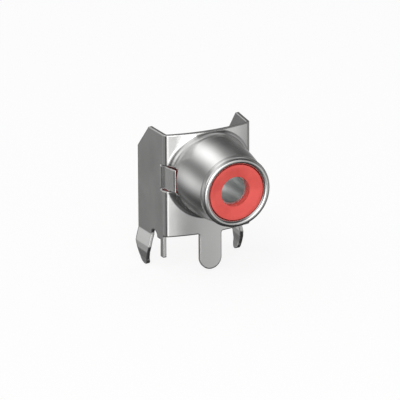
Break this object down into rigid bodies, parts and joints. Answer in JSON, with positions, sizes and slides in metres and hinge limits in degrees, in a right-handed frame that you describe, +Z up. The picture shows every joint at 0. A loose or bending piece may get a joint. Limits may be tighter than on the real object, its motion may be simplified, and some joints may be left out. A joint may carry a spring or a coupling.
{
  "type": "right-angle phono socket",
  "caption": "Board-mount right-angle phono socket: bright folded sheet-metal shell with a drawn barrel, snap-in legs, a red moulded insulator and a rolled centre contact.",
  "frame": {"origin": "on the board's surface, straight below the barrel's axis, in the plane through the two front corners of the shell; the insulator's foot touches the board there", "axes": "-Y along the barrel, the way a plug leaves; +Z up, away from the board; +X to the right for someone who looks along +Y into the mouth"},
  "size_m": [0.0124, 0.014, 0.0168],
  "materials": {
    "plated_steel": "bright tin or nickel plate",
    "red_plastic": "smooth, softly glossy",
    "plated_brass": "grey tin plate"
  },
  "bodies": {
    "root": {"shell": "plated_steel", "insulator": "red_plastic", "contact": "plated_brass"}
  },
  "joints": []
}
